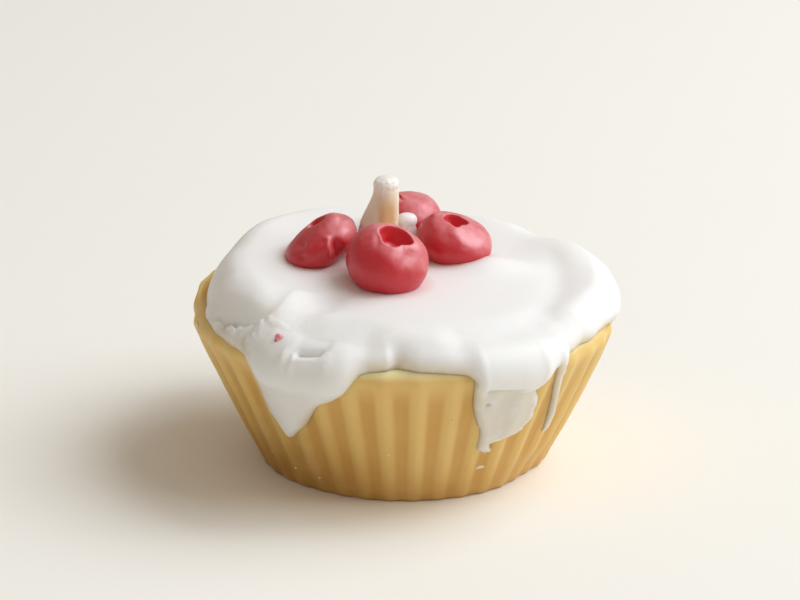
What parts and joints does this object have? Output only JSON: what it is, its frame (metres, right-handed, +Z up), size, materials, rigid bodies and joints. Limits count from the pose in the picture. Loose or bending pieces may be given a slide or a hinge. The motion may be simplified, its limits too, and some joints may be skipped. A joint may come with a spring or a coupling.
{
  "type": "cupcake-shaped candle",
  "caption": "Wax candle shaped as a small iced cake: fluted tapered body, poured icing with drips, round cored berries and a short wick stub.",
  "frame": {"origin": "centre of the cake's foot, on the surface that the candle stands on", "axes": "+Z up along the cake's axis, -Y towards the front with the short icing edge between two drips, +X to the right"},
  "size_m": [0.0692, 0.0718, 0.0461],
  "materials": {
    "ochre_wax": "smooth satin wax, ochre, slightly translucent",
    "white_wax": "poured white wax, smooth and satin, rough where it is torn",
    "red_wax": "red wax with a soft gloss",
    "wick_wax": "wick coated in pale frosted wax"
  },
  "bodies": {
    "root": {"cake": "ochre_wax", "icing": "white_wax", "berry_front": "red_wax", "berry_left": "red_wax", "berry_right": "red_wax", "berry_back": "red_wax", "wick": "wick_wax", "bead": "white_wax"}
  },
  "joints": []
}
